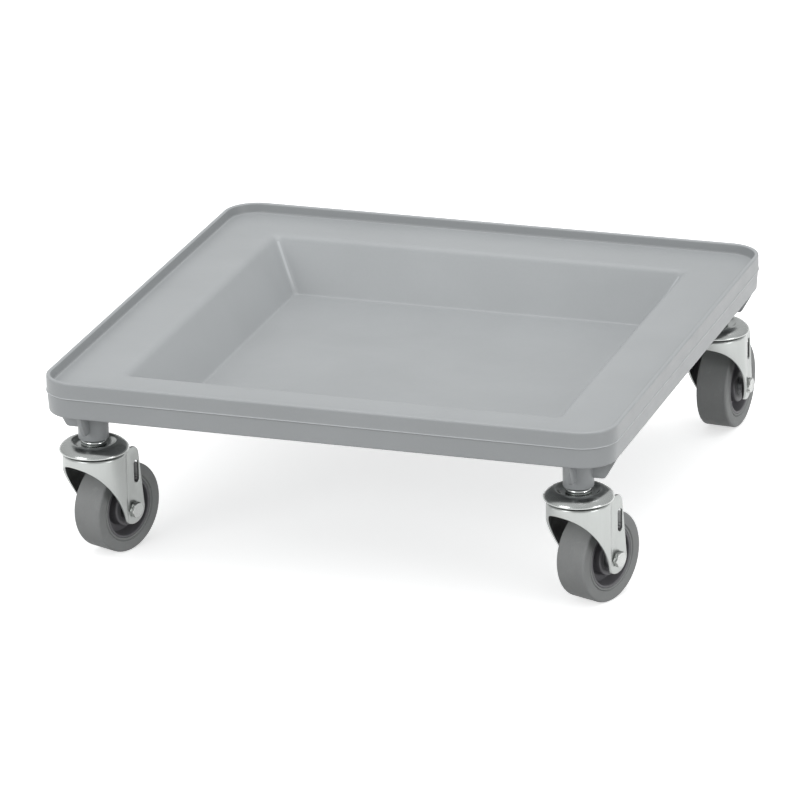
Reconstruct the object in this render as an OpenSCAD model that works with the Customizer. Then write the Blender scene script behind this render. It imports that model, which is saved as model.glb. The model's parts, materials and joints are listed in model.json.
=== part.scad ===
// Rack dolly: a moulded square tray with a sunken centre on four swivel stem casters.
// Millimetres, +Z up. The origin is on the floor, at the middle of the whole footprint.
// The back wheels trail out behind the tray, so the tray's own centre lies a little ahead of the origin.

/* [Tray] */
// Outer width of the square tray at its rim
tray_w = 543; // [520:1:580]
// Height of the rim's top above the floor
tray_top = 182; // [182:1:190]
// Radius of the tray's outer corners
corner_r = 33; // [28:1:38]
// Height of the raised rim above the resting ledge
rim_h = 10; // [9:0.5:12]
// Thickness of the raised rim
rim_t = 4; // [4:0.5:5]
// Height of the tray's side, from the skirt's bottom edge to the rim's top
skirt_h = 35; // [32:1:38]
// Distance of the parting bead below the rim's top
bead_drop = 15.5; // [13:0.5:18]
// Thickness of the ledge, the well's walls and its floor
shell_t = 4; // [3:0.5:5]
// Width of the well where its walls meet the ledge
well_w = 417; // [400:1:420]
// Width of the well's floor
well_floor_w = 357; // [340:1:365]
// Depth of the well's floor below the ledge
well_d = 49.5; // [40:0.5:50]
// Radius of the well's upright corner edges
well_corner_r = 9; // [6:1:14]
// Radius of the rounded edge between the ledge and the well's walls
well_round = 10; // [6:1:12]

/* [Bosses] */
// Distance of each caster stem from the tray's centre lines
stem_off = 232; // [228:1:234]
// Diameter of each corner boss
boss_d = 28.4; // [26:0.2:30]
// Thickness of the gusset ribs
rib_t = 4; // [3:0.5:5]

/* [Casters] */
// Diameter of the wheel
wheel_d = 85; // [80:1:86]
// Width of the tyre
wheel_w = 31; // [28:1:33]
// Distance of the axle behind the stem
trail = 28; // [26:1:30]
// Swivel of the front left caster, clockwise from trailing straight back
swivel_fl = 21.5; // [0:0.5:40]
// Swivel of the front right caster
swivel_fr = 21; // [0:0.5:40]
// Swivel of the back left caster
swivel_bl = 16; // [0:0.5:40]
// Swivel of the back right caster
swivel_br = 5; // [0:0.5:40]
// Radius of the fork's round crown
crown_r = 29.5; // [28.5:0.5:30]
// Thickness of the fork's sheet metal
sheet_t = 2.5; // [2:0.25:3]
// Distance between the outer faces of the fork's two legs
fork_w = 43; // [41:0.5:43.5]

/* [Hidden] */
// Part to draw: one sub-part's name, or all of them

// Distance of the tray's centre ahead of the origin
tray_ahead = 15;
tray_bottom = tray_top - skirt_h;
ledge_z = tray_top - rim_h;
bead_z = tray_top - bead_drop;
well_z = ledge_z - well_d;
well_slope = (well_w - well_floor_w) / 2 / well_d;
well_angle = 90 - atan(well_slope);
floor_round = 6;

// Heights of the caster's parts above the floor
axle_z = wheel_d / 2;
crown_z = 104;
boss_z = 117;
collar_z = 111;
pin_r = 6;
pin_hole_r = 6.06;
ball_r = 2.8;
ball_track_r = 22;
ball_count = 12;

axle_r = 4;
axle_hole_r = 4.05;
spacer_r = 6;
bearing_r = 11;
bearing_w = 7;
leg_x = fork_w / 2;
inner_x = leg_x - sheet_t;
core_r = 29;
recess_r = 26.5;
hex_r = 7.5;

moulded = [0.70, 0.71, 0.72];
zinc = [0.80, 0.81, 0.80];
polished = [0.86, 0.87, 0.88];
rubber_grey = [0.52, 0.52, 0.53];
core_grey = [0.45, 0.45, 0.47];
dark_steel = [0.40, 0.41, 0.43];

// Points on an arc from angle a0 to a1
function arc(cx, cy, r, a0, a1, n) =
    [for (i = [0:n]) [cx + r * cos(a0 + (a1 - a0) * i / n), cy + r * sin(a0 + (a1 - a0) * i / n)]];

// Points on a cubic curve, without its first point
function curve(p, q, r, s, n) =
    [for (i = [1:n]) let (t = i / n, u = 1 - t)
        u * u * u * p + 3 * u * u * t * q + 3 * u * t * t * r + t * t * t * s];

// Half the distance between the well's walls at height z
function well_half(z) = well_floor_w / 2 + (z - well_z) * well_slope;

// Square with rounded corners, centred
module rounded_square(w, r) {
    square([w, w - 2 * r], center = true);
    square([w - 2 * r, w], center = true);
    for (x = [-1, 1], y = [-1, 1])
        translate([x * (w / 2 - r), y * (w / 2 - r)])
            circle(r, $fn = 32);
}

// The same square as one outline of short straight sides
module faceted_square(w, r) {
    c = w / 2 - r;
    polygon(concat(
        arc(c, c, r, 0, 90, 7),
        arc(-c, c, r, 90, 180, 7),
        arc(-c, -c, r, 180, 270, 7),
        arc(c, -c, r, 270, 360, 7)
    ));
}

// Tapered block between half width h0 at z0 and h1 at z1
module taper(h0, z0, h1, z1) {
    translate([0, 0, z0])
        linear_extrude(height = z1 - z0, scale = h1 / h0)
            faceted_square(2 * h0, well_corner_r * 2 * h0 / well_floor_w);
}

// Section of the raised rim and skirt; x is measured from the corner's centre
module rim_section() {
    edge_r = 1.8;
    fillet_r = 2;
    out = corner_r;
    in = out - rim_t - 0.6;
    polygon(concat(
        arc(out - 3.1, tray_bottom + 1.5, 1.5, 270, 360, 3),
        [[out - 0.5, bead_z - 0.9], [out + 0.5, bead_z - 0.3]],
        [[out + 0.5, bead_z + 0.3], [out, bead_z + 0.6]],
        arc(out - edge_r, tray_top - edge_r, edge_r, 0, 90, 4),
        arc(out - rim_t + edge_r, tray_top - edge_r, edge_r, 90, 180, 4),
        arc(in - fillet_r, ledge_z + fillet_r, fillet_r, 0, -90, 5),
        [[out - 14, ledge_z], [out - 14, ledge_z - shell_t], [in, ledge_z - shell_t], [in + 0.1, tray_bottom]]
    ));
}

// Raised rim and skirt, swept round the square
module rim_ring() {
    reach = tray_w / 2 - corner_r;
    for (a = [0:90:270])
        rotate([0, 0, a]) {
            translate([reach, 0, 0])
                rotate([90, 0, 0])
                    linear_extrude(height = 2 * reach, center = true)
                        rim_section();
            translate([reach, reach, 0])
                rotate_extrude(angle = 90, $fn = 48)
                    rim_section();
        }
}

// Tapered block that runs on a little past both of its ends
module flare(h0, z0, h1, z1) {
    over = 0.5;
    slope = (h1 - h0) / (z1 - z0);
    taper(h0 - over * slope, z0 - over, h1 + over * slope, z1 + over);
}

// Hollow of the well, with a rounded top edge and a rounded foot
module well_hollow() {
    top_in = well_round * tan(well_angle / 2);
    h_top = well_half(ledge_z) + top_in;
    steps = 4;
    arc_h = [for (i = [0:steps]) h_top - well_round * sin(well_angle * i / steps)];
    arc_z = [for (i = [0:steps]) ledge_z - well_round * (1 - cos(well_angle * i / steps))];
    for (i = [0:steps - 1])
        flare(arc_h[i + 1], arc_z[i + 1], arc_h[i], arc_z[i]);
    foot_in = floor_round * tan(well_angle / 2);
    h_foot = well_half(well_z) - foot_in;
    foot_h = [for (i = [0:2]) h_foot + floor_round * sin(well_angle * i / 2)];
    foot_z = [for (i = [0:2]) well_z + floor_round * (1 - cos(well_angle * i / 2))];
    z_over = arc_z[steps] + 1;
    hull() {
        taper(foot_h[0], foot_z[0], foot_h[1], foot_z[1]);
        taper(foot_h[2], foot_z[2], well_half(z_over), z_over);
    }
}

// Outside of the well's shell
module well_shell() {
    side_t = shell_t / sin(well_angle);
    z0 = well_z - shell_t;
    z1 = ledge_z - shell_t / 2;
    taper(well_half(z0) + side_t, z0, well_half(z1) + side_t, z1);
}

// Boss for one stem with two outer gussets and two shallow inner ribs; outwards is +X and +Y
module boss() {
    top = ledge_z - shell_t / 2;
    edge = tray_w / 2 - stem_off;
    translate([0, 0, boss_z])
        cylinder(d = boss_d, h = top - boss_z, $fn = 48);
    for (m = [0, 1])
        mirror([m, -m, 0])
            rotate([90, 0, 0]) {
                linear_extrude(height = rib_t, center = true)
                    polygon([[0, boss_z + 9], [boss_d / 2 + 11, boss_z + 9], [edge - 2, tray_bottom + 1],
                        [edge - 2, top], [0, top]]);
                linear_extrude(height = rib_t, center = true)
                    polygon([[0, tray_bottom + 4], [-34, tray_bottom + 4], [-34, top], [0, top]]);
            }
}

module deck_body() {
    difference() {
        union() {
            rim_ring();
            translate([0, 0, ledge_z - shell_t])
                linear_extrude(height = shell_t)
                    rounded_square(tray_w - 24, corner_r - 12);
            well_shell();
            for (x = [-1, 1], y = [-1, 1])
                translate([x * stem_off, y * stem_off, 0])
                    scale([x, y, 1])
                        boss();
        }
        well_hollow();
        for (x = [-1, 1], y = [-1, 1])
            translate([x * stem_off, y * stem_off, boss_z - 1])
                cylinder(r = 9.02, h = 30, $fn = 48);
    }
}

// Bush that takes the stem
module insert_body() {
    translate([0, 0, boss_z + 0.5])
        difference() {
            cylinder(r = 8.95, h = 28, $fn = 36);
            translate([0, 0, -1])
                cylinder(r = 6.1, h = 30, $fn = 36);
        }
}

// Stud, collar, kingpin and the kingpin's riveted end
module stem_body() {
    top = boss_z - 0.02;
    low = crown_z - sheet_t - 2.65;
    rotate_extrude($fn = 40)
        polygon([[0, low - 3], [8.5, low - 3], [9.5, low - 2], [9.5, low], [pin_r, low],
            [pin_r, collar_z + 0.02], [11.2, collar_z + 0.02], [12, collar_z + 0.8], [12, collar_z + 3.2],
            [10.6, collar_z + 4.8], [10.6, top], [pin_r, top], [pin_r, boss_z + 24],
            [pin_r - 1, boss_z + 25], [0, boss_z + 25]]);
}

// Domed cup over the swivel bearing, with a sunken middle
module cap_body() {
    t = 1.6;
    lip_r = 32.5;
    lip_z = crown_z + 1.6;
    crest = [23, crown_z + 9.2];
    bowl_z = collar_z - 0.1;
    under_z = crest[1] - t;
    rotate_extrude($fn = 40)
        polygon(concat(
            [[lip_r - 1.4, lip_z], [lip_r - 0.3, lip_z], [lip_r, lip_z + 0.5], [lip_r, lip_z + 1.2]],
            curve([lip_r, lip_z + 1.2], [lip_r - 0.8, lip_z + 4.2], [27.4, crest[1]], crest, 5),
            curve(crest, [20.5, crest[1]], [19, bowl_z], [15.5, bowl_z], 4),
            [[pin_r + 0.05, bowl_z], [pin_r + 0.05, bowl_z - t], [15.5, bowl_z - t]],
            curve([15.5, bowl_z - t], [19.8, bowl_z - t], [21, under_z], [crest[0], under_z], 4),
            curve([crest[0], under_z], [26.4, under_z],
                  [lip_r - 1.8, lip_z + 4], [lip_r - 1.6, lip_z + 1.4], 4)
        ));
}

// Balls between the cup and the fork's crown
module balls_body() {
    for (i = [0:ball_count - 1])
        rotate([0, 0, 360 * i / ball_count])
            translate([ball_track_r, 0, crown_z + ball_r + 0.05])
                sphere(r = ball_r, $fn = 14);
}

// Lower thrust ring under the fork's crown
module race_body() {
    translate([0, 0, crown_z - sheet_t - 2.6])
        difference() {
            cylinder(r = 14, h = 2.55, $fn = 40);
            translate([0, 0, -1])
                cylinder(r = pin_r + 0.05, h = 5, $fn = 40);
        }
}

// Side outline of the fork; x is the distance behind the stem
module fork_side() {
    boss_r = 14.5;
    shoulder_r = 9;
    start = [-crown_r - 0.5, crown_z - 9.5];
    tip = [trail + boss_r * cos(210), axle_z + boss_r * sin(210)];
    polygon(concat(
        [[start[0], crown_z + 1], start],
        curve(start, [-17, crown_z - 19], [-1, axle_z + 17], tip, 8),
        arc(trail, axle_z, boss_r, 222, 360, 10),
        arc(trail + boss_r - 6 - shoulder_r, crown_z - shoulder_r, shoulder_r, 5, 90, 6),
        [[trail + boss_r - 6 - shoulder_r, crown_z + 1]]
    ));
}

// Pressed fork: round crown, curved front and two flat legs; +X is the axle's way and +Y the trail
module fork_body() {
    bend_r = 3;
    slot_w = 6.4;
    slot_l = 21.4;
    leg_y = sqrt(pow(crown_r, 2) - pow(leg_x, 2));
    difference() {
        union() {
            difference() {
                intersection() {
                    rotate_extrude($fn = 60)
                        polygon(concat(
                            [[pin_hole_r, crown_z - sheet_t], [crown_r - sheet_t - 0.8, crown_z - sheet_t],
                                [crown_r - sheet_t, crown_z - sheet_t - 0.8],
                                [crown_r - sheet_t, 20], [crown_r, 20]],
                            arc(crown_r - bend_r, crown_z - bend_r, bend_r, 0, 90, 4),
                            [[pin_hole_r, crown_z]]
                        ));
                    rotate([90, 0, 90])
                        linear_extrude(height = 80, center = true)
                            fork_side();
                }
                translate([-40, leg_y + 0.4, 0])
                    cube([80, 80, crown_z - 4]);
            }
            intersection() {
                for (x = [-1, 1])
                    translate([x * (leg_x + inner_x) / 2 - sheet_t / 2, leg_y - 0.7, 0])
                        cube([sheet_t, 40, crown_z]);
                rotate([90, 0, 90])
                    linear_extrude(height = 80, center = true)
                        fork_side();
            }
        }
        translate([0, trail, axle_z])
            rotate([0, 90, 0])
                cylinder(r = axle_hole_r, h = 80, center = true, $fn = 32);
        translate([0, trail + 4.6, crown_z - 25.5])
            rotate([90, 0, 90])
                linear_extrude(height = 80, center = true) {
                    square([slot_w, slot_l - slot_w], center = true);
                    for (z = [-1, 1])
                        translate([0, z * (slot_l - slot_w) / 2])
                            circle(slot_w / 2, $fn = 24);
                }
    }
}

// Hexagon bolt through both legs; its head is on the +X side
module bolt_body() {
    rotate([0, 90, 0]) {
        translate([0, 0, leg_x + 0.02])
            difference() {
                cylinder(r = hex_r, h = 5.3, $fn = 6);
                difference() {
                    translate([0, 0, 4])
                        cylinder(r = 10, h = 2, $fn = 36);
                    translate([0, 0, 3.9])
                        cylinder(r1 = hex_r + 0.6, r2 = hex_r - 1.5, h = 2.1, $fn = 36);
                }
            }
        translate([0, 0, -leg_x - 8])
            cylinder(r = axle_r, h = 2 * leg_x + 9, $fn = 32);
    }
}

// Locking nut on the -X side
module nut_body() {
    translate([-leg_x - 0.02, 0, 0])
        rotate([0, -90, 0])
            difference() {
                union() {
                    cylinder(r = hex_r, h = 5, $fn = 6);
                    cylinder(r = hex_r - 1.6, h = 6.8, $fn = 36);
                }
                translate([0, 0, -1])
                    cylinder(r = axle_r + 0.02, h = 10, $fn = 32);
            }
}

// Tube clamped between the legs, on which the bearings sit
module spacer_body() {
    rotate([0, 90, 0])
        difference() {
            cylinder(r = spacer_r, h = 2 * inner_x - 0.04, center = true, $fn = 36);
            cylinder(r = axle_hole_r, h = 60, center = true, $fn = 36);
        }
}

// Tread ring, turned about the axle
module tyre_body() {
    half = wheel_w / 2;
    edge_r = 2.2;
    groove_r = core_r + 2.6;
    rotate([0, 90, 0])
        rotate_extrude($fn = 60)
            polygon(concat(
                [[core_r + 0.02, -half + 0.8], [core_r + 0.8, -half], [groove_r - 0.8, -half],
                    [groove_r, -half + 0.9], [groove_r + 0.8, -half]],
                arc(axle_z - edge_r, -half + edge_r, edge_r, -90, 0, 5),
                arc(axle_z - edge_r, half - edge_r, edge_r, 0, 90, 5),
                [[groove_r + 0.8, half], [groove_r, half - 0.9], [groove_r - 0.8, half],
                    [core_r + 0.8, half], [core_r + 0.02, half - 0.8]]
            ));
}

// Moulded wheel core: rim, thin web and a boss bored for the bearings
module hub_body() {
    rim_x = wheel_w / 2 - 0.4;
    boss_x = wheel_w / 2 - 0.2;
    seat_x = boss_x - bearing_w;
    rotate([0, 90, 0])
        rotate_extrude($fn = 60)
            polygon([
                [spacer_r + 1.5, -seat_x], [bearing_r, -seat_x], [bearing_r, -boss_x], [16.2, -boss_x],
                [17.2, -boss_x + 1], [18, -4.5], [recess_r - 1.5, -3.5], [recess_r, -rim_x + 0.6],
                [recess_r + 0.6, -rim_x], [core_r, -rim_x], [core_r, rim_x], [recess_r + 0.6, rim_x],
                [recess_r, rim_x - 0.6], [recess_r - 1.5, 3.5], [18, 4.5], [17.2, boss_x - 1],
                [16.2, boss_x], [bearing_r, boss_x], [bearing_r, seat_x], [spacer_r + 1.5, seat_x]
            ]);
}

// One wheel bearing; side is 1 or -1 along the axle
module bearing_body(side) {
    translate([side * (wheel_w / 2 - 0.2 - bearing_w / 2), 0, 0])
        rotate([0, 90, 0])
            rotate_extrude($fn = 40)
                polygon([
                    [spacer_r + 0.05, -3.5], [7.6, -3.5], [7.9, -3.1], [9.2, -3.1], [9.5, -3.5],
                    [bearing_r - 0.02, -3.5], [bearing_r - 0.02, 3.5], [9.5, 3.5], [9.2, 3.1],
                    [7.9, 3.1], [7.6, 3.5], [spacer_r + 0.05, 3.5]
                ]);
}

// Places its children on a stem's axis
module on_stem(x, y) {
    translate([x * stem_off, y * stem_off - tray_ahead, 0])
        children();
}

// Places its children in a caster's swivelled frame
module on_swivel(x, y, swivel) {
    on_stem(x, y)
        rotate([0, 0, -swivel])
            children();
}

// Places its children on a caster's axle
module on_axle(x, y, swivel) {
    on_swivel(x, y, swivel)
        translate([0, trail, axle_z])
            children();
}

module deck() {
    color(moulded)
        translate([0, -tray_ahead, 0])
            deck_body();
}

// Front left caster
module insert_fl() {
    color(dark_steel)
        on_stem(-1, -1)
            insert_body();
}

module stem_fl() {
    color(polished)
        on_stem(-1, -1)
            stem_body();
}

module cap_fl() {
    color(zinc)
        on_stem(-1, -1)
            cap_body();
}

module race_fl() {
    color(dark_steel)
        on_stem(-1, -1)
            race_body();
}

module balls_fl() {
    color(polished)
        on_swivel(-1, -1, swivel_fl)
            balls_body();
}

module fork_fl() {
    color(zinc)
        on_swivel(-1, -1, swivel_fl)
            fork_body();
}

module bolt_fl() {
    color(polished)
        on_axle(-1, -1, swivel_fl)
            bolt_body();
}

module nut_fl() {
    color(polished)
        on_axle(-1, -1, swivel_fl)
            nut_body();
}

module spacer_fl() {
    color(dark_steel)
        on_axle(-1, -1, swivel_fl)
            spacer_body();
}

module tyre_fl() {
    color(rubber_grey)
        on_axle(-1, -1, swivel_fl)
            tyre_body();
}

module hub_fl() {
    color(core_grey)
        on_axle(-1, -1, swivel_fl)
            hub_body();
}

module bearing_a_fl() {
    color(polished)
        on_axle(-1, -1, swivel_fl)
            bearing_body(1);
}

module bearing_b_fl() {
    color(polished)
        on_axle(-1, -1, swivel_fl)
            bearing_body(-1);
}

// Front right caster
module insert_fr() {
    color(dark_steel)
        on_stem(1, -1)
            insert_body();
}

module stem_fr() {
    color(polished)
        on_stem(1, -1)
            stem_body();
}

module cap_fr() {
    color(zinc)
        on_stem(1, -1)
            cap_body();
}

module race_fr() {
    color(dark_steel)
        on_stem(1, -1)
            race_body();
}

module balls_fr() {
    color(polished)
        on_swivel(1, -1, swivel_fr)
            balls_body();
}

module fork_fr() {
    color(zinc)
        on_swivel(1, -1, swivel_fr)
            fork_body();
}

module bolt_fr() {
    color(polished)
        on_axle(1, -1, swivel_fr)
            bolt_body();
}

module nut_fr() {
    color(polished)
        on_axle(1, -1, swivel_fr)
            nut_body();
}

module spacer_fr() {
    color(dark_steel)
        on_axle(1, -1, swivel_fr)
            spacer_body();
}

module tyre_fr() {
    color(rubber_grey)
        on_axle(1, -1, swivel_fr)
            tyre_body();
}

module hub_fr() {
    color(core_grey)
        on_axle(1, -1, swivel_fr)
            hub_body();
}

module bearing_a_fr() {
    color(polished)
        on_axle(1, -1, swivel_fr)
            bearing_body(1);
}

module bearing_b_fr() {
    color(polished)
        on_axle(1, -1, swivel_fr)
            bearing_body(-1);
}

// Back left caster
module insert_bl() {
    color(dark_steel)
        on_stem(-1, 1)
            insert_body();
}

module stem_bl() {
    color(polished)
        on_stem(-1, 1)
            stem_body();
}

module cap_bl() {
    color(zinc)
        on_stem(-1, 1)
            cap_body();
}

module race_bl() {
    color(dark_steel)
        on_stem(-1, 1)
            race_body();
}

module balls_bl() {
    color(polished)
        on_swivel(-1, 1, swivel_bl)
            balls_body();
}

module fork_bl() {
    color(zinc)
        on_swivel(-1, 1, swivel_bl)
            fork_body();
}

module bolt_bl() {
    color(polished)
        on_axle(-1, 1, swivel_bl)
            bolt_body();
}

module nut_bl() {
    color(polished)
        on_axle(-1, 1, swivel_bl)
            nut_body();
}

module spacer_bl() {
    color(dark_steel)
        on_axle(-1, 1, swivel_bl)
            spacer_body();
}

module tyre_bl() {
    color(rubber_grey)
        on_axle(-1, 1, swivel_bl)
            tyre_body();
}

module hub_bl() {
    color(core_grey)
        on_axle(-1, 1, swivel_bl)
            hub_body();
}

module bearing_a_bl() {
    color(polished)
        on_axle(-1, 1, swivel_bl)
            bearing_body(1);
}

module bearing_b_bl() {
    color(polished)
        on_axle(-1, 1, swivel_bl)
            bearing_body(-1);
}

// Back right caster
module insert_br() {
    color(dark_steel)
        on_stem(1, 1)
            insert_body();
}

module stem_br() {
    color(polished)
        on_stem(1, 1)
            stem_body();
}

module cap_br() {
    color(zinc)
        on_stem(1, 1)
            cap_body();
}

module race_br() {
    color(dark_steel)
        on_stem(1, 1)
            race_body();
}

module balls_br() {
    color(polished)
        on_swivel(1, 1, swivel_br)
            balls_body();
}

module fork_br() {
    color(zinc)
        on_swivel(1, 1, swivel_br)
            fork_body();
}

module bolt_br() {
    color(polished)
        on_axle(1, 1, swivel_br)
            bolt_body();
}

module nut_br() {
    color(polished)
        on_axle(1, 1, swivel_br)
            nut_body();
}

module spacer_br() {
    color(dark_steel)
        on_axle(1, 1, swivel_br)
            spacer_body();
}

module tyre_br() {
    color(rubber_grey)
        on_axle(1, 1, swivel_br)
            tyre_body();
}

module hub_br() {
    color(core_grey)
        on_axle(1, 1, swivel_br)
            hub_body();
}

module bearing_a_br() {
    color(polished)
        on_axle(1, 1, swivel_br)
            bearing_body(1);
}

module bearing_b_br() {
    color(polished)
        on_axle(1, 1, swivel_br)
            bearing_body(-1);
}

deck();
insert_fl();
stem_fl();
cap_fl();
race_fl();
balls_fl();
fork_fl();
bolt_fl();
nut_fl();
spacer_fl();
tyre_fl();
hub_fl();
bearing_a_fl();
bearing_b_fl();
insert_fr();
stem_fr();
cap_fr();
race_fr();
balls_fr();
fork_fr();
bolt_fr();
nut_fr();
spacer_fr();
tyre_fr();
hub_fr();
bearing_a_fr();
bearing_b_fr();
insert_bl();
stem_bl();
cap_bl();
race_bl();
balls_bl();
fork_bl();
bolt_bl();
nut_bl();
spacer_bl();
tyre_bl();
hub_bl();
bearing_a_bl();
bearing_b_bl();
insert_br();
stem_br();
cap_br();
race_br();
balls_br();
fork_br();
bolt_br();
nut_br();
spacer_br();
tyre_br();
hub_br();
bearing_a_br();
bearing_b_br();
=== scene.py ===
import json
import math

import bmesh
import bpy
from mathutils import Matrix, Vector


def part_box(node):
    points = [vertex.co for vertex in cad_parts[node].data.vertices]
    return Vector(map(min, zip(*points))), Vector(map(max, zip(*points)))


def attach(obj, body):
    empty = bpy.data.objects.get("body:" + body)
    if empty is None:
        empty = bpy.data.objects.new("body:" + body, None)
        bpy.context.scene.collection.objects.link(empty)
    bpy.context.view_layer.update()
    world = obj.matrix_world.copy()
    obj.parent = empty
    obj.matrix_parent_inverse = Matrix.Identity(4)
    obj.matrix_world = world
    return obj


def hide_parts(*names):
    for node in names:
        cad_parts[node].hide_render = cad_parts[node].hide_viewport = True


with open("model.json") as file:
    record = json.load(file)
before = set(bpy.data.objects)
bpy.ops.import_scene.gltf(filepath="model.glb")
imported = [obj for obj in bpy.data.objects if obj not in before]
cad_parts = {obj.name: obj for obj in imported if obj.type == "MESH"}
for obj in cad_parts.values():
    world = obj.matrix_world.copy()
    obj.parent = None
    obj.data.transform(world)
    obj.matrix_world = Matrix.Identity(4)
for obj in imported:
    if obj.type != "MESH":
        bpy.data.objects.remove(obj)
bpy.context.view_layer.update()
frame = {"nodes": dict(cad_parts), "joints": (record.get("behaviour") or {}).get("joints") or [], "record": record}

record = frame["record"]
joints = {j["name"]: j for j in frame["joints"]}
CORNERS = ("fl", "fr", "bl", "br")
MM = 0.001
UP = Vector((0, 0, 1))


# ---------------------------------------------------------------- mesh helpers

def arc(cx, cz, r, a0, a1, n):
    """Points on an arc, in degrees, from a0 to a1."""
    angles = [math.radians(a0 + (a1 - a0) / n * i) for i in range(n + 1)]
    return [(cx + r * math.cos(a), cz + r * math.sin(a)) for a in angles]


def curve(p, q, r, s, n):
    """Points on a cubic curve, both ends included."""
    out = []
    for i in range(n + 1):
        t = i / n
        u = 1 - t
        weights = (u * u * u, 3 * u * u * t, 3 * u * t * t, t * t * t)
        out.append(tuple(sum(w * v for w, v in zip(weights, four)) for four in zip(p, q, r, s)))
    return out


def eased(profile, radius, n=3):
    """The closed profile with each sharp corner rounded by about radius."""
    out = []
    count = len(profile)
    for i, p in enumerate(profile):
        a, b = Vector(profile[i - 1]), Vector(profile[(i + 1) % count])
        v = Vector(p)
        da, db = a - v, b - v
        if da.length < 1e-9 or db.length < 1e-9:
            out.append(p)
            continue
        turn = math.pi - da.angle(db)
        if turn < math.radians(25):
            out.append(p)
            continue
        cut = min(radius, 0.45 * da.length, 0.45 * db.length)
        s, e = v + da.normalized() * cut, v + db.normalized() * cut
        for k in range(n + 1):
            t = k / n
            q = s * (1 - t) * (1 - t) + v * 2 * t * (1 - t) + e * t * t
            out.append((q.x, q.y))
    return out


def finish_mesh(name, bm, sharp=32):
    """Turns a bmesh into a smooth-shaded object with its sharp edges kept."""
    bmesh.ops.remove_doubles(bm, verts=bm.verts, dist=1e-7)
    bmesh.ops.recalc_face_normals(bm, faces=bm.faces)
    mesh = bpy.data.meshes.new(name)
    bm.to_mesh(mesh)
    bm.free()
    mesh.shade_smooth()
    mesh.set_sharp_from_angle(angle=math.radians(sharp))
    obj = bpy.data.objects.new(name, mesh)
    bpy.context.scene.collection.objects.link(obj)
    return obj


def add_revolve(bm, profile, segments, matrix, closed=True):
    """Turns (radius, height) points in millimetres about the matrix's Z axis."""
    rings = []
    for s in range(segments):
        a = 2 * math.pi * s / segments
        ring = []
        for r, z in profile:
            ring.append(bm.verts.new(matrix @ Vector((r * MM * math.cos(a), r * MM * math.sin(a), z * MM))))
        rings.append(ring)
    count = len(profile)
    last = count if closed else count - 1
    for s in range(segments):
        a, b = rings[s], rings[(s + 1) % segments]
        for i in range(last):
            j = (i + 1) % count
            quad = [a[i], a[j], b[j], b[i]]
            on_axis_i, on_axis_j = profile[i][0] < 1e-6, profile[j][0] < 1e-6
            if on_axis_i and on_axis_j:
                continue
            if on_axis_i:
                quad = [a[i], a[j], b[j]]
            elif on_axis_j:
                quad = [a[i], a[j], b[i]]
            bm.faces.new(quad)


def revolve(name, profile, segments, matrix, closed=True):
    """One object turned from a profile; an open profile starts and ends on the axis."""
    bm = bmesh.new()
    add_revolve(bm, profile, segments, matrix, closed)
    return finish_mesh(name, bm)


def place(obj, body, slot, *nodes, finishes=None):
    """Gives a piece its body and its materials (the slot's own unless finishes are given), and hides the CAD nodes
    it stands for.
    """
    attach(obj, body)
    if nodes:
        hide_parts(*nodes)
    obj.data.materials.clear()
    for finish in finishes or (slot,):
        obj.data.materials.append(MATERIALS[finish])
    return obj


# ---------------------------------------------------------------- materials

def new_material(name):
    """A material, its node tree and its shader."""
    mat = bpy.data.materials.new(name)
    mat.use_nodes = True
    tree = mat.node_tree
    shader = next(n for n in tree.nodes if n.type == "BSDF_PRINCIPLED")
    return mat, tree, shader


def link(tree, a, b):
    """Joins an output to an input."""
    tree.links.new(a, b)


def noise(tree, scale, detail=4.0, rough=0.55, stretch=None, distort=0.0):
    """A noise texture over the object's own metres, stretched where asked."""
    coord = tree.nodes.new("ShaderNodeTexCoord")
    mapping = tree.nodes.new("ShaderNodeMapping")
    tex = tree.nodes.new("ShaderNodeTexNoise")
    tex.inputs["Scale"].default_value = scale
    tex.inputs["Detail"].default_value = detail
    tex.inputs["Roughness"].default_value = rough
    tex.inputs["Distortion"].default_value = distort
    if stretch:
        mapping.inputs["Scale"].default_value = stretch
    link(tree, coord.outputs["Object"], mapping.inputs["Vector"])
    link(tree, mapping.outputs["Vector"], tex.inputs["Vector"])
    return tex.outputs["Fac"]


def ramp(tree, source, stops):
    """Colours by a factor; each stop is a position and a colour."""
    node = tree.nodes.new("ShaderNodeValToRGB")
    node.color_ramp.elements[0].position = stops[0][0]
    node.color_ramp.elements[0].color = (*stops[0][1], 1)
    node.color_ramp.elements[1].position = stops[-1][0]
    node.color_ramp.elements[1].color = (*stops[-1][1], 1)
    for pos, col in stops[1:-1]:
        e = node.color_ramp.elements.new(pos)
        e.color = (*col, 1)
    link(tree, source, node.inputs["Fac"])
    return node.outputs["Color"]


def tint(colour, amount):
    """The colour made lighter or darker by a factor."""
    return tuple(min(1, c * amount) for c in colour)


def grey_ramp(tree, source, a, va, b, vb):
    """A factor that goes from va at a to vb at b."""
    return ramp(tree, source, [(a, (va, va, va)), (b, (vb, vb, vb))])


def mix(tree, factor, a, b):
    """Colour a blended into colour b by a factor."""
    node = tree.nodes.new("ShaderNodeMix")
    node.data_type = "RGBA"
    colour_a = [s for s in node.inputs if s.name == "A" and s.type == "RGBA"][0]
    colour_b = [s for s in node.inputs if s.name == "B" and s.type == "RGBA"][0]
    if isinstance(factor, float):
        node.inputs[0].default_value = factor
    else:
        link(tree, factor, node.inputs[0])
    for sock, value in ((colour_a, a), (colour_b, b)):
        if isinstance(value, tuple):
            sock.default_value = (*value, 1)
        else:
            link(tree, value, sock)
    return [s for s in node.outputs if s.type == "RGBA"][0]


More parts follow.
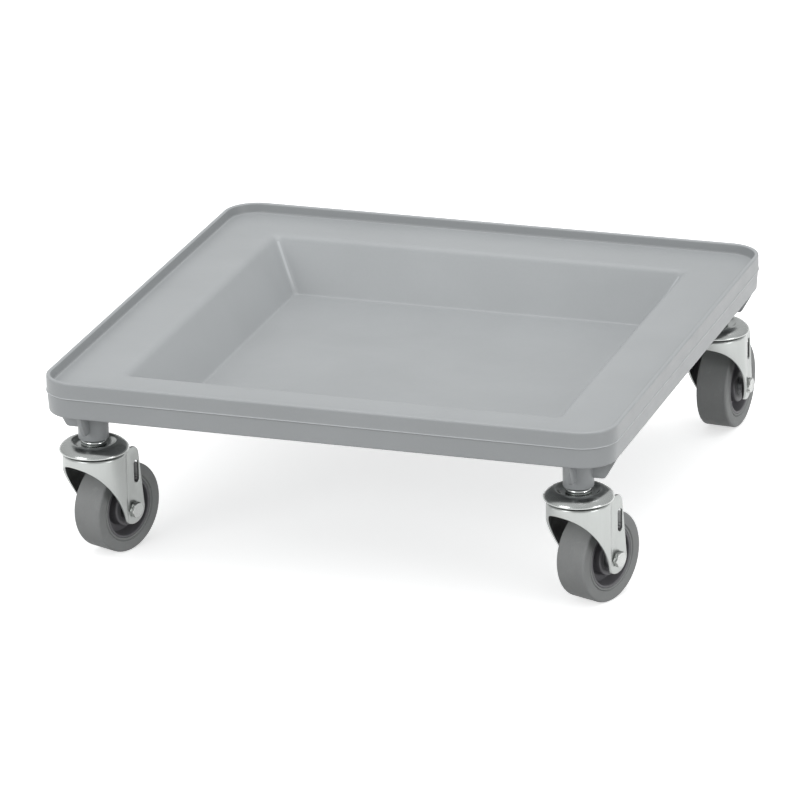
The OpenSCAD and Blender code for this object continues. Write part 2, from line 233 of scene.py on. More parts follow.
def bump(tree, source, strength, distance, below=None):
    """Relief from a height, laid over the relief below it."""
    node = tree.nodes.new("ShaderNodeBump")
    node.inputs["Strength"].default_value = strength
    node.inputs["Distance"].default_value = distance
    link(tree, source, node.inputs["Height"])
    if below is not None:
        link(tree, below, node.inputs["Normal"])
    return node.outputs["Normal"]


def attribute(tree, name):
    """A mask painted on the mesh's points; it is 0 on a mesh without it."""
    node = tree.nodes.new("ShaderNodeAttribute")
    node.attribute_name = name
    return node.outputs["Fac"]


def moulded_plastic(name, colour, rough, grain=0.06):
    """Injection moulded plastic: cloudy colour, fine moulding grain, pale scuffs, and painted shade and painted
    highlights from the mesh's masks.
    """
    mat, tree, shader = new_material(name)
    broad = noise(tree, 9.0, 3.0, 0.5, distort=0.6)
    fine = noise(tree, 420.0, 3.0, 0.6)
    pits = noise(tree, 1700.0, 2.0, 0.5)
    base = ramp(tree, broad, [(0.32, tint(colour, 0.95)), (0.68, tint(colour, 1.045))])
    speck = ramp(tree, fine, [(0.30, tint(colour, 0.97)), (0.62, tint(colour, 1.015))])
    base = mix(tree, 0.4, base, speck)
    scuff = noise(tree, 60.0, 6.0, 0.7, stretch=(1.0, 7.0, 1.0), distort=1.5)
    scuff_mask = grey_ramp(tree, scuff, 0.62, 0.0, 0.74, 0.35)
    base = mix(tree, scuff_mask, base, tint(colour, 1.12))
    # Painted shade: darkens the plastic where the shade mask is set, on the rim's inner wall.
    base = mix(tree, attribute(tree, "painted_shade"), base, tint(colour, 0.74))
    # Painted highlight: lightens the plastic where the highlight mask is set, along the bead's top and down the
    # well's upright corners.
    base = mix(tree, attribute(tree, "painted_highlight"), base, tint(colour, 1.55))
    link(tree, base, shader.inputs["Base Color"])
    gloss = mix(tree, 0.5, noise(tree, 30.0, 5.0, 0.6), fine)
    link(tree, grey_ramp(tree, gloss, 0.3, rough - 0.07, 0.7, rough + 0.09), shader.inputs["Roughness"])
    height = bump(tree, pits, grain, 0.0004)
    height = bump(tree, fine, grain * 0.8, 0.0012, height)
    height = bump(tree, broad, 0.10, 0.004, height)
    link(tree, height, shader.inputs["Normal"])
    shader.inputs["Specular IOR Level"].default_value = 0.50
    return mat


def plated_metal(name, colour, rough, mottle=0.05, relief=0.012):
    """Plated steel: clouded plating, fine drawn lines and faint stains."""
    mat, tree, shader = new_material(name)
    cloud = noise(tree, 45.0, 4.0, 0.55, distort=0.5)
    lines = noise(tree, 420.0, 4.0, 0.6, stretch=(1.0, 1.0, 0.12))
    specks = noise(tree, 1300.0, 2.0, 0.5)
    base = ramp(tree, cloud, [(0.30, tint(colour, 1 - mottle)), (0.70, colour)])
    base = mix(tree, 0.35, base, ramp(tree, lines, [(0.35, tint(colour, 0.93)), (0.65, colour)]))
    stain = grey_ramp(tree, noise(tree, 30.0, 6.0, 0.65, distort=1.5), 0.66, 0.0, 0.84, 0.22)
    base = mix(tree, stain, base, (colour[0] * 0.82, colour[1] * 0.82, colour[2] * 0.79))
    link(tree, base, shader.inputs["Base Color"])
    shader.inputs["Metallic"].default_value = 1.0
    link(tree, grey_ramp(tree, mix(tree, 0.4, cloud, lines), 0.30, rough * 0.88, 0.72, rough * 1.14),
         shader.inputs["Roughness"])
    height = bump(tree, lines, relief, 0.0005)
    height = bump(tree, specks, relief, 0.0003, height)
    link(tree, height, shader.inputs["Normal"])
    return mat


def rubber(name, colour):
    """Grey rubber: cloudy, gritty and lightly dusted."""
    mat, tree, shader = new_material(name)
    cloud = noise(tree, 45.0, 5.0, 0.6, distort=0.5)
    grit = noise(tree, 600.0, 4.0, 0.65)
    base = ramp(tree, cloud, [(0.30, tint(colour, 0.90)), (0.70, tint(colour, 1.07))])
    base = mix(tree, 0.35, base, ramp(tree, grit, [(0.35, tint(colour, 0.85)), (0.65, colour)]))
    dust = grey_ramp(tree, noise(tree, 120.0, 6.0, 0.7, distort=1.2), 0.58, 0.0, 0.78, 0.35)
    base = mix(tree, dust, base, tint(colour, 1.5))
    link(tree, base, shader.inputs["Base Color"])
    link(tree, grey_ramp(tree, grit, 0.3, 0.52, 0.7, 0.72), shader.inputs["Roughness"])
    height = bump(tree, grit, 0.16, 0.0006)
    height = bump(tree, cloud, 0.12, 0.0015, height)
    link(tree, height, shader.inputs["Normal"])
    shader.inputs["Specular IOR Level"].default_value = 0.35
    return mat


MATERIALS = {
    "moulded": moulded_plastic("moulded_grey", (0.3825, 0.3970, 0.4065), 0.37),
    "zinc": plated_metal("bright_zinc", (0.420, 0.434, 0.424), 0.33),
    "polished": plated_metal("polished_plate", (0.60, 0.62, 0.61), 0.19, mottle=0.03, relief=0.006),
    "cap": plated_metal("cap_zinc", (0.500, 0.515, 0.505), 0.25, mottle=0.04, relief=0.002),
    # Painted highlight: a far paler plating colour laid on the fork's edge faces, standing in for the glint along
    # its edges.
    "painted_edge_glint": plated_metal("painted_edge_glint", (0.80, 0.81, 0.79), 0.30, mottle=0.04),
    "shield": plated_metal("bearing_shield", (0.16, 0.165, 0.17), 0.45, mottle=0.15),
    "bright_steel": plated_metal("bolt_zinc", (0.50, 0.51, 0.50), 0.24, mottle=0.08),
    "steel": plated_metal("plain_steel", (0.42, 0.43, 0.44), 0.38, mottle=0.15, relief=0.03),
    "tyre": rubber("grey_rubber", (0.290, 0.296, 0.296)),
    "core": moulded_plastic("core_plastic", (0.135, 0.132, 0.142), 0.42, grain=0.05),
}
for spec in record["subparts"]:
    node = frame["nodes"][spec["node"]]
    finish = "shield" if spec["node"].startswith("bearing") else spec["material_slot"]
    node.data.materials.clear()
    node.data.materials.append(MATERIALS[finish])
    node.data.shade_smooth()
    node.data.set_sharp_from_angle(angle=math.radians(30))


# ---------------------------------------------------------------- the tray

tray_low, tray_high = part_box("deck")
tray_mid = (tray_low + tray_high) / 2
rim_z = tray_high.z
heights = {m["name"]: m["pos_m"][2] / MM for m in record["mounts"]}
LEDGE_Z = heights["rack_ledge"]
FLOOR_Z = heights["well_floor"]
TOP_Z = rim_z / MM
BOTTOM_Z = 147
BEAD = 0.5
BEAD_Z = TOP_Z - 15.5
TRAY_HALF = (tray_high.x - tray_low.x) / 2 / MM - BEAD
CORNER_R = 33
SHELL = 4
FLOOR_HALF = 178.5
WELL_SLOPE = 0.606
WELL_ANGLE = 90 - math.degrees(math.atan(WELL_SLOPE))
WELL_EDGE_R = 10
FOOT_R = 3.5
WELL_CORNER = 6 / FLOOR_HALF
BOSS_Z = 117
BOSS_R = 14.2
BOSS_BORE_R = 9.05
RIB = 4
RIB_REACH = 34
CORNER_STEPS = 12


def square_ring(bm, half, radius, z):
    """One level of a square with rounded corners, round the tray's own centre."""
    ring = []
    for sx, sy, start in ((1, 1, 0), (-1, 1, 90), (-1, -1, 180), (1, -1, 270)):
        for k in range(CORNER_STEPS + 1):
            a = math.radians(start + 90 * k / CORNER_STEPS)
            x = sx * (half - radius) + radius * math.cos(a)
            y = sy * (half - radius) + radius * math.sin(a)
            ring.append(bm.verts.new((tray_mid.x + x * MM, tray_mid.y + y * MM, z * MM)))
    return ring


def well_half(z):
    """Half the well's width at a height."""
    return FLOOR_HALF + (z - FLOOR_Z) * WELL_SLOPE


def inward(d, z):
    """A level d millimetres in from the tray's outer face."""
    return (TRAY_HALF - d, max(CORNER_R - d, 4), z)


def tray_levels():
    """Half width, corner radius and height of every level, from the well's floor round to its underside."""
    levels = [(FLOOR_HALF - 16, 8, FLOOR_Z), (FLOOR_HALF - 5, 8.6, FLOOR_Z)]
    sin_a, half_tan = math.sin(math.radians(WELL_ANGLE)), math.tan(math.radians(WELL_ANGLE / 2))
    foot = FLOOR_HALF - FOOT_R * half_tan
    for k in range(6):
        a = math.radians(WELL_ANGLE * k / 5)
        h = foot + FOOT_R * math.sin(a)
        levels.append((h, WELL_CORNER * h, FLOOR_Z + FOOT_R * (1 - math.cos(a))))
    edge = well_half(LEDGE_Z) + WELL_EDGE_R * half_tan
    z_low = levels[-1][2] + 0.8
    z_high = LEDGE_Z - WELL_EDGE_R * (1 - math.cos(math.radians(WELL_ANGLE))) - 0.8
    for k in range(4):
        z = z_low + (z_high - z_low) * k / 3
        levels.append((well_half(z), WELL_CORNER * well_half(z), z))
    for k in range(8, -1, -1):
        a = math.radians(WELL_ANGLE * k / 8)
        h = edge - WELL_EDGE_R * math.sin(a)
        levels.append((h, WELL_CORNER * h, LEDGE_Z - WELL_EDGE_R * (1 - math.cos(a))))
    levels += [(edge + 1.2, WELL_CORNER * edge + 0.6, LEDGE_Z), inward(20, LEDGE_Z)]
    ledge_end = curve((13, LEDGE_Z), (9, LEDGE_Z), (7.5, LEDGE_Z + 0.1), (6.6, LEDGE_Z + 0.25), 3)
    fillet = curve((6.1, LEDGE_Z + 0.42), (5.2, LEDGE_Z + 0.75), (4.75, LEDGE_Z + 1.3),
                   (4.68, LEDGE_Z + 2.2), 5)
    levels += [inward(d, z) for d, z in ledge_end + fillet]
    levels += [inward(4.6, LEDGE_Z + 3.2), inward(4.2, TOP_Z - 2.6)]
    levels += [inward(d, z) for d, z in arc(2.3, TOP_Z - 1.8, 1.8, 0, 90, 5)]
    levels += [inward(d, z) for d, z in arc(1.8, TOP_Z - 1.8, 1.8, 90, 180, 5)]
    skirt = [(0, TOP_Z - 2.6), (0, BEAD_Z + 1.6), (0, BEAD_Z + 0.62), (-0.04, BEAD_Z + 0.55),
             (-BEAD + 0.05, BEAD_Z + 0.35), (-BEAD, BEAD_Z + 0.28), (-BEAD, BEAD_Z - 0.15),
             (-BEAD + 0.1, BEAD_Z - 0.3), (0.35, BEAD_Z - 0.8), (0.5, BEAD_Z - 1.1),
             (0.55, BEAD_Z - 2.2), (1.55, BOTTOM_Z + 3)]
    levels += [inward(d, z) for d, z in skirt]
    levels += [inward(d, z) for d, z in arc(3.1, BOTTOM_Z + 1.5, 1.5, 180, 270, 5)]
    levels += [inward(d, z) for d, z in ((3.9, BOTTOM_Z + 0.1), (4.35, BOTTOM_Z + 0.4), (4.5, BOTTOM_Z + 1),
                                         (4.6, LEDGE_Z - SHELL - 2.5))]
    levels += [inward(d, z) for d, z in arc(6.8, LEDGE_Z - SHELL - 2.2, 2.2, 180, 90, 4)]
    side = SHELL / sin_a
    under = LEDGE_Z - SHELL
    levels.append((well_half(under) + side + 5, 16, under))
    levels += [(well_half(under) + side + a, WELL_CORNER * well_half(under) + 4 + a, under - b)
               for a, b in ((2.5, 0.15), (1.0, 0.7), (0.1, 1.7))]
    base = FLOOR_Z - SHELL
    levels.append((well_half(base + 5) + side, WELL_CORNER * FLOOR_HALF + 4, base + 5))
    for k in range(5):
        a = math.radians(90 - WELL_ANGLE + WELL_ANGLE * k / 4)
        half = well_half(base) + side - 1.5 + 3 * math.cos(a) - 1.2 * k / 4
        levels.append((half, 12, base + 3 - 3 * math.sin(a)))
    levels.append((well_half(base) - 14, 11, base))
    return levels


def build_tray():
    """The tray's shell, with its painted shade and painted highlights marked on its points."""
    bm = bmesh.new()
    rings = [square_ring(bm, *level) for level in tray_levels()]
    count = len(rings[0])
    for lo, hi in zip(rings, rings[1:]):
        for i in range(count):
            j = (i + 1) % count
            bm.faces.new([lo[i], lo[j], hi[j], hi[i]])
    bm.faces.new(rings[0])
    bm.faces.new(list(reversed(rings[-1])))
    tray = finish_mesh("tray_shell", bm, 50)
    # Painted shade mask: marks the rim's inner wall, to be darkened in the material.
    painted_shade = tray.data.attributes.new("painted_shade", "FLOAT", "POINT")
    # Painted highlight mask: 1 on the bead's top, 0.5 down the well's upright corners.
    painted_highlight = tray.data.attributes.new("painted_highlight", "FLOAT", "POINT")
    for v in tray.data.vertices:
        x, y, z = abs(v.co.x - tray_mid.x) / MM, abs(v.co.y - tray_mid.y) / MM, v.co.z / MM
        depth = depth_in(x, y)
        # Painted shade on the rim's inner wall, below its top.
        on_rim = 4.0 < depth < 5.4 and LEDGE_Z + 0.5 < z < TOP_Z - 1.2
        # Painted highlight along the top of the bead.
        on_bead = depth < -0.3 and BEAD_Z < z < BEAD_Z + 0.4
        painted_shade.data[v.index].value = 1.0 if on_rim else 0.0
        # Painted highlight streak down the well's upright corners.
        in_corner = FLOOR_Z + 4 < z < LEDGE_Z - 5 and abs(x - y) < 1.3 and x < well_half(z) + 0.5
        painted_highlight.data[v.index].value = 1.0 if on_bead else 0.5 if in_corner else 0.0
    return tray


def depth_in(x, y):
    """How far a point lies in from the tray's outer face, in millimetres from its own centre."""
    inner = TRAY_HALF - CORNER_R
    if x > inner and y > inner:
        return CORNER_R - math.hypot(x - inner, y - inner)
    return TRAY_HALF - max(x, y)


def left_offset(loop, distance):
    """The loop moved to its left, which is into the material for an outline that runs anticlockwise."""
    out = []
    n = len(loop)
    for i in range(n):
        a, b, c = Vector(loop[i - 1]), Vector(loop[i]), Vector(loop[(i + 1) % n])
        d, e = (b - a), (c - b)
        d = d.normalized() if d.length > 1e-9 else e.normalized()
        e = e.normalized() if e.length > 1e-9 else d
        m = Vector((-(d.y + e.y), d.x + e.x))
        if m.length < 1e-6:
            m = Vector((-d.y, d.x))
        m.normalize()
        k = distance / max(0.5, m.dot(Vector((-d.y, d.x))))
        out.append((b.x + m.x * k, b.y + m.y * k))
    return out


def add_plate(bm, loops, depth, matrix, ease, rim=0):
    """A flat plate from one outline and any holes, with its rims eased and given the material at index rim, which
    on the fork is the painted edge highlight.
    """
    half = depth / 2
    levels = [(-half, ease), (-half + 0.3 * ease, 0.3 * ease), (-half + ease, 0),
              (half - ease, 0), (half - 0.3 * ease, 0.3 * ease), (half, ease)]
    edges = {0: [], len(levels) - 1: []}
    for loop in loops:
        rings = []
        for z, inset in levels:
            points = left_offset(loop, inset) if inset else loop
            rings.append([bm.verts.new(matrix @ Vector((x * MM, y * MM, z * MM))) for x, y in points])
        n = len(loop)
        for lo, hi in zip(rings, rings[1:]):
            for i in range(n):
                j = (i + 1) % n
                bm.faces.new([lo[i], lo[j], hi[j], hi[i]]).material_index = rim
        for level in edges:
            ring = rings[level]
            edges[level] += [bm.edges.get((ring[i], ring[(i + 1) % n])) for i in range(n)]
    for group in edges.values():
        bmesh.ops.triangle_fill(bm, use_beauty=True, use_dissolve=False, edges=group)


def caster_axes(corner):
    """The direction of a caster's axle and the one its trail points in."""
    axle = Vector(joints["spin_" + corner]["axis"]).normalized()
    return axle, UP.cross(axle)


def stem_frame(corner):
    """Axes of a caster: X along its axle, Y along its trail, Z up, on the floor below its stem."""
    axle, back = caster_axes(corner)
    x, y, _ = joints["swivel_" + corner]["pos_m"]
    return Matrix(((axle.x, back.x, 0, x), (axle.y, back.y, 0, y), (0, 0, 1, 0), (0, 0, 0, 1)))


def axle_frame(corner):
    """Axes of a wheel: Z along its axle, Y up, X back along the trail."""
    axle, back = caster_axes(corner)
    x, y, z = joints["spin_" + corner]["pos_m"]
    return Matrix(((back.x, UP.x, axle.x, x), (back.y, UP.y, axle.y, y), (back.z, UP.z, axle.z, z),
                   (0, 0, 0, 1)))


def build_bosses():
    """The four corner bosses with their gusset ribs."""
    bm = bmesh.new()
    top = LEDGE_Z - SHELL / 2
    for corner in CORNERS:
        x, y, _ = joints["swivel_" + corner]["pos_m"]
        sx = 1 if x > tray_mid.x else -1
        sy = 1 if y > tray_mid.y else -1
        upright = Matrix.Translation((x, y, 0))
        barrel = [(BOSS_BORE_R, BOSS_Z + 0.6), (9.6, BOSS_Z), (BOSS_R - 0.9, BOSS_Z),
                  (BOSS_R - 0.25, BOSS_Z + 0.25), (BOSS_R, BOSS_Z + 0.9), (BOSS_R, LEDGE_Z - SHELL - 3),
                  (BOSS_R + 0.6, LEDGE_Z - SHELL - 1), (BOSS_R + 2.2, top), (BOSS_BORE_R, top)]
        add_revolve(bm, barrel, 64, upright)
        edge = TRAY_HALF - abs(x - tray_mid.x) / MM
        outer = [(8, BOSS_Z + 9), (BOSS_R + 11, BOSS_Z + 9), (edge - 2, BOTTOM_Z + 1), (edge - 2, top),
                 (8, top)]
        inner = [(-8, top), (-RIB_REACH, top), (-RIB_REACH, BOTTOM_Z + 4), (-8, BOTTOM_Z + 4)]
        for along_x in (True, False):
            if along_x:
                turn = Matrix(((sx, 0, 0, 0), (0, 0, -sx, 0), (0, 1, 0, 0), (0, 0, 0, 1)))
            else:
                turn = Matrix(((0, 0, sy, 0), (sy, 0, 0, 0), (0, 1, 0, 0), (0, 0, 0, 1)))
            for outline in (outer, inner):
                add_plate(bm, [eased(outline, 3, 4)], RIB, upright @ turn, 0.5)
    return finish_mesh("tray_bosses", bm, 40)


# ---------------------------------------------------------------- the casters

WHEEL_R = joints["spin_fl"]["pos_m"][2] / MM
WHEEL_HALF = 15.5
CORE_R = 29
RECESS_R = 26.5
CROWN_Z = joints["swivel_fl"]["pos_m"][2] / MM
COLLAR_Z = CROWN_Z + 7
PIN_R = 6
TRAIL = 28
CROWN_R = 29.5
SHEET = 2.5
LEG_X = 21.5
LEG_Y = math.sqrt(CROWN_R ** 2 - LEG_X ** 2)
FORK_END_R = 14.5
PROUD = 0.4
HEX_R = 7.5
HEAD_GAP = 0.03
BOLT_R = 3.98
THREAD_TURNS = 9
THREAD_LENGTH = 6.6
THREAD_END = 7.97


def tyre_profile():
    """The tyre's section: a ring step and a groove on each side, and a slightly eased tread."""
    h, r = WHEEL_HALF, WHEEL_R
    edge = 2.3
    groove = CORE_R + 2.6
    side = [(CORE_R + 0.05, -h + 1.2), (CORE_R + 0.3, -h + 0.5), (CORE_R + 0.8, -h + 0.3),
            (groove - 0.9, -h + 0.3), (groove - 0.5, -h + 0.6), (groove, -h + 1.2), (groove + 0.45, -h + 0.5),
            (groove + 0.9, -h + 0.04), (groove + 1.4, -h)]
    side += arc(r - edge, -h + edge, edge, -88, 0, 10)
    tread = [(r - 0.05, -h + edge + 1.2), (r, -4), (r, 0)]
    half = side + tread
    return half + [(a, -b) for a, b in reversed(half[:-1])]


def hub_profile():
    """The wheel core's section: a recess each side between its rim and its bearing boss."""
    rim = WHEEL_HALF - 0.4
    boss = WHEEL_HALF - 0.2
    seat = boss - 7
    half = [(7.5, -seat), (11, -seat), (11, -boss), (16.2, -boss), (17.3, -boss + 1.1), (18, -4.6),
            (RECESS_R - 1.6, -3.6), (RECESS_R, -rim + 0.7), (RECESS_R + 0.7, -rim), (CORE_R, -rim)]
    return eased(half + [(a, -b) for a, b in reversed(half)], 0.9, 3)


def cap_profile():
    """The pressed cap's section: a turned lip, a round crest and a dished middle."""
    t = 1.6
    lip = 32.5
    lip_z = CROWN_Z + 1.6
    crest = (21.5, CROWN_Z + 10)
    bowl = COLLAR_Z - 0.1
    under = crest[1] - t
    return ([(lip - 1.4, lip_z + 0.25), (lip - 1.2, lip_z), (lip - 0.4, lip_z), (lip - 0.1, lip_z + 0.15),
             (lip, lip_z + 0.45), (lip, lip_z + 1.0)]
            + curve((lip - 0.05, lip_z + 1.2), (lip - 0.9, lip_z + 4.2), (26.6, crest[1]), crest, 12)
            + curve(crest, (19.3, crest[1]), (18, bowl), (15, bowl), 11)[1:]
            + [(13.5, bowl), (PIN_R + 0.05, bowl), (PIN_R + 0.05, bowl - t), (15, bowl - t)]
            + curve((15, bowl - t), (18.6, bowl - t), (19.8, under), (crest[0], under), 8)[1:]
            + curve((crest[0], under), (25.6, under), (lip - 2, lip_z + 3.6),
                    (lip - 1.6, lip_z + 1.4), 8)[1:])


def stem_profile():
    """Kingpin with its foot, collar and stud, from the bottom up."""
    top = BOSS_Z - 0.02
    low = CROWN_Z - SHEET - 2.65
    return ([(0, low - 3), (7.8, low - 3), (8.8, low - 2.7), (9.4, low - 2.0), (9.5, low - 0.3), (9.3, low),
             (PIN_R, low), (PIN_R, COLLAR_Z + 0.05), (10.9, COLLAR_Z + 0.05), (11.5, COLLAR_Z + 0.25),
             (11.9, COLLAR_Z + 0.8)]
            + curve((12, COLLAR_Z + 1.1), (12, COLLAR_Z + 2.6), (12, COLLAR_Z + 4), (10.9, COLLAR_Z + 4.7), 7)
            + [(10.6, COLLAR_Z + 5.1), (10.6, top - 0.3), (10.4, top), (PIN_R, top), (PIN_R, BOSS_Z + 24),
               (PIN_R - 1, BOSS_Z + 25), (0, BOSS_Z + 25)])


def hex_head(bm, matrix, base, height, chamfer_r, dish=0.0):
    """A hexagon head along the matrix's Z, from base up, with its chamfered top and washer face."""
    steps = 72
    apothem = HEX_R * math.cos(math.pi / 6)
    washer = 0.45

    def ring(radius_of, z_of):
        out = []
        for k in range(steps):
            a = 2 * math.pi * k / steps
            r = radius_of(a)
            point = Vector((r * MM * math.cos(a), r * MM * math.sin(a), z_of(r) * MM))
            out.append(bm.verts.new(matrix @ point))
        return out

    def hexagon(a):
        return apothem / math.cos((a % (math.pi / 3)) - math.pi / 6)

    def chamfered(r):
        return base + height - max(0.0, r - chamfer_r) * 0.62

    rings = [ring(lambda a: apothem - 0.35, lambda r: base),
             ring(lambda a: apothem - 0.15, lambda r: base + washer),
             ring(lambda a: hexagon(a) - 0.15, lambda r: base + washer),
             ring(hexagon, lambda r: base + washer + 0.15),
             ring(hexagon, lambda r: chamfered(r) - 0.1),
             ring(lambda a: hexagon(a) - 0.12, chamfered),
             ring(lambda a: chamfer_r, lambda r: base + height),
             ring(lambda a: chamfer_r * 0.82, lambda r: base + height - dish * 0.15),
             ring(lambda a: chamfer_r * 0.70, lambda r: base + height - dish)]
    for lo, hi in zip(rings, rings[1:]):
        for i in range(steps):
            j = (i + 1) % steps
            bm.faces.new([lo[i], lo[j], hi[j], hi[i]])
    bm.faces.new(list(reversed(rings[0])))
    bm.faces.new(rings[-1])


def build_bolt(corner, wheel):
    """The axle bolt, with its thread past the far leg."""
    bm = bmesh.new()
    hex_head(bm, wheel, LEG_X + PROUD + HEAD_GAP, 5.25 - PROUD, HEX_R * 0.86, 0.35)
    shaft = [(0, LEG_X + 1), (BOLT_R, LEG_X + 1), (BOLT_R, -LEG_X - 1)]
    for k in range(THREAD_TURNS):
        x = -LEG_X - 1 - THREAD_LENGTH * k / THREAD_TURNS
        shaft += [(3.55, x - 0.35), (3.95, x - 0.62)]
    shaft += [(3.2, -LEG_X - THREAD_END), (0, -LEG_X - THREAD_END)]
    add_revolve(bm, shaft, 40, wheel, closed=False)
    return finish_mesh("bolt_head_" + corner, bm, 35)


def build_nut(corner, wheel):
    """The axle nut with its locking ring."""
    bm = bmesh.new()
    flip = wheel @ Matrix(((1, 0, 0, 0), (0, -1, 0, 0), (0, 0, -1, 0), (0, 0, 0, 1)))
    hex_head(bm, flip, LEG_X + PROUD + HEAD_GAP, 4.9 - PROUD, HEX_R * 0.87)
    ring = [(4.3, LEG_X + 4.0), (HEX_R - 1.75, LEG_X + 4.0), (HEX_R - 1.75, LEG_X + 6.1),
            (HEX_R - 2.1, LEG_X + 6.6), (HEX_R - 2.7, LEG_X + 6.75), (4.5, LEG_X + 6.4)]
    add_revolve(bm, ring, 48, flip)
    return finish_mesh("lock_nut_" + corner, bm, 35)


def fork_lower_edge():
    """Points (behind the stem, height) of the fork's lower edge, from its front to the end of its legs."""
    tip_angle = math.radians(210)
    tip = (TRAIL + FORK_END_R * math.cos(tip_angle), WHEEL_R + FORK_END_R * math.sin(tip_angle))
    points = curve((-CROWN_R - 0.5, CROWN_Z - 9), (-17, CROWN_Z - 17.5), (0, WHEEL_R + 18), tip, 40)
    return points + arc(TRAIL, WHEEL_R, FORK_END_R, 214, 360, 36)


def height_at(points, y):
    """The height of a line of points at y."""
    for (y0, z0), (y1, z1) in zip(points, points[1:]):
        if y0 <= y <= y1:
            return z0 + (z1 - z0) * (y - y0) / max(y1 - y0, 1e-6)
    return points[-1][1] if y > points[-1][0] else points[0][1]


def build_fork(corner, stem):
    """The pressed fork: a turned crown with its curved front, and two flat legs with their slots."""
    bm = bmesh.new()
    edge = fork_lower_edge()
    bend = 3
    front_steps, rear_steps = 72, 24
    limit = math.degrees(math.acos(-LEG_Y / CROWN_R))
    front = [limit * (2 * k / front_steps - 1) for k in range(front_steps + 1)]
    rear = [limit + 0.15 + (360 - 2 * limit - 0.3) * k / rear_steps for k in range(rear_steps + 1)]
    # These faces take the painted edge highlight material.
    painted_edge_glint = range(12, 17)  # the section's faces along the lower edge
    rings = []
    for phi, deep in [(a, True) for a in front] + [(a, False) for a in rear]:
        s, c = math.sin(math.radians(phi)), -math.cos(math.radians(phi))
        low = height_at(edge, CROWN_R * c) if deep else CROWN_Z - 5
        inner = CROWN_R - SHEET
        section = [(PIN_R + 0.06, CROWN_Z - SHEET), (PIN_R + 0.06, CROWN_Z), (18, CROWN_Z)]
        section += arc(CROWN_R - bend, CROWN_Z - bend, bend, 90, 0, 7)
        section += [(CROWN_R, CROWN_Z - bend - 0.3), (CROWN_R, low + 1.0), (CROWN_R - 0.25, low + 0.3),
                    (CROWN_R - 0.8, low), (inner + 0.55, low), (inner + 0.16, low + 0.16),
                    (inner, low + 0.55), (inner, CROWN_Z - SHEET - 0.9),
                    (inner - 0.25, CROWN_Z - SHEET - 0.25), (inner - 0.9, CROWN_Z - SHEET)]
        rings.append([bm.verts.new(stem @ Vector((r * s * MM, r * c * MM, z * MM))) for r, z in section])
    count = len(rings[0])
    for k, ring in enumerate(rings):
        after = rings[(k + 1) % len(rings)]
        for i in range(count):
            j = (i + 1) % count
            face = bm.faces.new([ring[i], ring[j], after[j], after[i]])
            face.material_index = int(i in painted_edge_glint)
    start = LEG_Y - 0.7
    shoulder = 9
    rear_y = TRAIL + FORK_END_R - 6
    outline = [(start, height_at(edge, start))] + [p for p in edge if p[0] > start + 0.2]
    outline += arc(rear_y - shoulder, CROWN_Z - shoulder, shoulder, 5, 90, 12)
    outline.append((start, CROWN_Z))
    slot_y, slot_z, slot_r, slot_half = TRAIL + 4.6, CROWN_Z - 25.5, 3.2, 7.5
    slot = arc(slot_y, slot_z + slot_half, slot_r, 0, 180, 12)
    slot += arc(slot_y, slot_z - slot_half, slot_r, 180, 360, 12)
    slot.reverse()
    hole = arc(TRAIL, WHEEL_R, 4.05, 0, 345, 23)
    hole.reverse()
    for side in (-1, 1):
        middle = side * (LEG_X - SHEET / 2 + PROUD) * MM
        plane = stem @ Matrix(((0, 0, 1, middle), (1, 0, 0, 0), (0, 1, 0, 0), (0, 0, 0, 1)))
        # The legs' rims take material 1, the painted edge highlight.
        add_plate(bm, [outline, slot, hole], SHEET, plane, 0.8, 1)
    return finish_mesh("fork_shell_" + corner, bm, 35)


def build_caster(corner):
    """The seven detailed pieces of one caster."""
    stem = stem_frame(corner)
    wheel = axle_frame(corner)
    swivel, roll = "swivel_" + corner, "wheel_" + corner
    place(revolve("tyre_ring_" + corner, tyre_profile(), 128, wheel), roll, "tyre", "tyre_" + corner)
    place(revolve("wheel_core_" + corner, hub_profile(), 112, wheel), roll, "core", "hub_" + corner)
    place(revolve("bearing_cup_" + corner, cap_profile(), 112, stem), "tray", "zinc", "cap_" + corner,
          finishes=("cap",))
    place(revolve("stem_collar_" + corner, stem_profile(), 80, stem, closed=False), "tray", "polished",
          "stem_" + corner)
    place(build_fork(corner, stem), swivel, "zinc", "fork_" + corner, finishes=("zinc", "painted_edge_glint"))
    place(build_bolt(corner, wheel), swivel, "bright_steel", "bolt_" + corner)
    place(build_nut(corner, wheel), swivel, "bright_steel", "nut_" + corner)


place(build_tray(), "tray", "moulded", "deck")
place(build_bosses(), "tray", "moulded", "deck")
for corner in CORNERS:
    build_caster(corner)


# ---------------------------------------------------------------- stage, light and camera

def build_floor():
    """A pale floor; it shows in gloss but throws no coloured light back."""
    bm = bmesh.new()
    size = 24.0
    cells = 24
    along = [size * (2 * i / cells - 1) for i in range(cells + 1)]
    grid = [[bm.verts.new((x, y, 0)) for y in along] for x in along]
    for i in range(cells):
        for j in range(cells):
            bm.faces.new([grid[i][j], grid[i + 1][j], grid[i + 1][j + 1], grid[i][j + 1]])
    floor = finish_mesh("floor", bm)
    mat, tree, shader = new_material("pale_floor")
    shade = ramp(tree, noise(tree, 3.0, 3.0, 0.5), [(0.3, (0.93, 0.93, 0.93)), (0.7, (0.96, 0.96, 0.96))])
    link(tree, shade, shader.inputs["Base Color"])
    shader.inputs["Roughness"].default_value = 0.85
    shader.inputs["Specular IOR Level"].default_value = 0.1
    shader.inputs["Emission Color"].default_value = (1, 1, 1, 1)
    shader.inputs["Emission Strength"].default_value = 0.55
    floor.data.materials.append(mat)
    floor.visible_diffuse = False


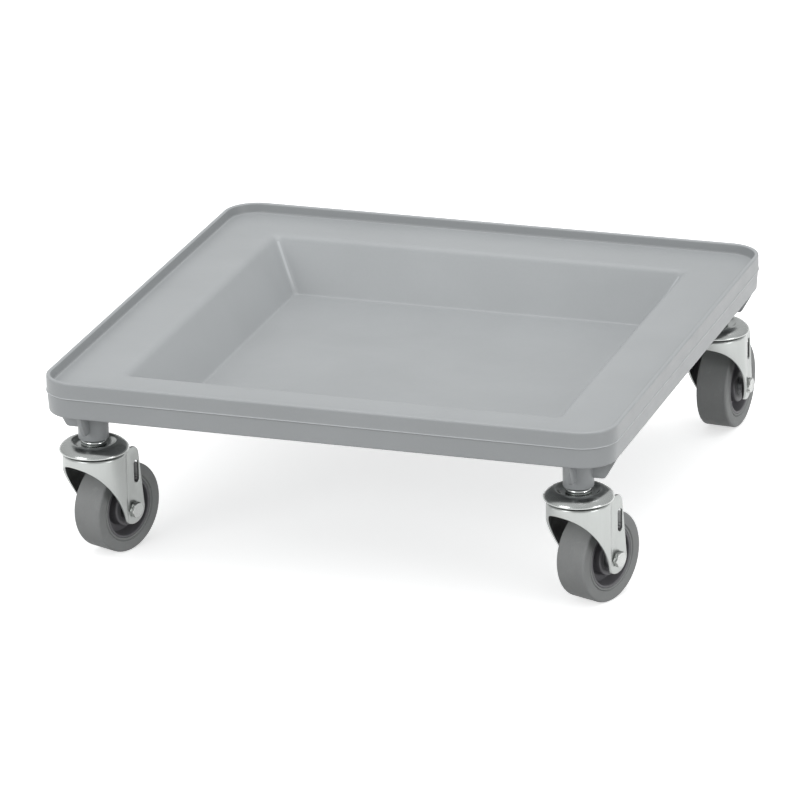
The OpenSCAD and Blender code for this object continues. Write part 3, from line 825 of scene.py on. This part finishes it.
def build_world():
    """A pale studio dome, dim below the horizon."""
    world = bpy.data.worlds.new("studio")
    bpy.context.scene.world = world
    world.use_nodes = True
    tree = world.node_tree
    back = next(n for n in tree.nodes if n.type == "BACKGROUND")
    coord = tree.nodes.new("ShaderNodeTexCoord")
    split = tree.nodes.new("ShaderNodeSeparateXYZ")
    height = tree.nodes.new("ShaderNodeMapRange")
    height.inputs["From Min"].default_value = -1.0
    link(tree, coord.outputs["Generated"], split.inputs["Vector"])
    link(tree, split.outputs["Z"], height.inputs["Value"])
    sky = ramp(tree, height.outputs["Result"], [(0.0, (0.16, 0.16, 0.16)), (0.44, (0.22, 0.22, 0.22)),
                                                (0.50, (0.62, 0.63, 0.63)), (0.62, (0.70, 0.71, 0.71)),
                                                (0.85, (0.80, 0.81, 0.81)), (1.0, (0.84, 0.84, 0.84))])
    link(tree, sky, back.inputs["Color"])
    back.inputs["Strength"].default_value = 0.95


def add_area(name, location, power, width, height, glare=1.0):
    """A soft box that looks at the dolly's middle; glare scales what it adds to gloss."""
    data = bpy.data.lights.new(name, "AREA")
    data.energy = power
    data.specular_factor = glare
    data.shape = "RECTANGLE"
    data.size = width
    data.size_y = height
    lamp = bpy.data.objects.new(name, data)
    lamp.location = location
    lamp.rotation_euler = (Vector((0, 0, 0.1)) - Vector(location)).to_track_quat("-Z", "Y").to_euler()
    bpy.context.scene.collection.objects.link(lamp)


def build_camera():
    """The camera, by its azimuth, height angle and roll, set back from the middle of the rim."""
    az, el, roll = (math.radians(a) for a in (18.51, 20.15, -1.10))
    back = Vector((math.sin(az) * math.cos(el), -math.cos(az) * math.cos(el), math.sin(el)))
    right = (-back).cross(UP).normalized()
    up = right.cross(-back)
    x = right * math.cos(roll) + up * math.sin(roll)
    y = up * math.cos(roll) - right * math.sin(roll)
    rim_centre = Vector((tray_mid.x, tray_mid.y, rim_z))
    eye = rim_centre + Vector((1.7035, -5.1259, 1.8936))
    data = bpy.data.cameras.new("camera")
    data.sensor_width = 36
    data.lens = 275.0
    data.clip_end = 50
    camera = bpy.data.objects.new("camera", data)
    camera.matrix_world = Matrix((
        (x.x, y.x, back.x, eye.x),
        (x.y, y.y, back.y, eye.y),
        (x.z, y.z, back.z, eye.z),
        (0, 0, 0, 1)))
    bpy.context.scene.collection.objects.link(camera)
    bpy.context.scene.camera = camera


build_floor()
build_world()
add_area("top_box", (0.2, 0.3, 2.6), 22, 2.4, 2.0)
add_area("left_box", (-1.3, -2.9, 1.3), 26, 1.5, 1.1)
add_area("right_box", (3.0, -1.0, 0.55), 16, 1.2, 0.5, glare=0.35)
build_camera()
bpy.context.scene.view_settings.view_transform = "Standard"
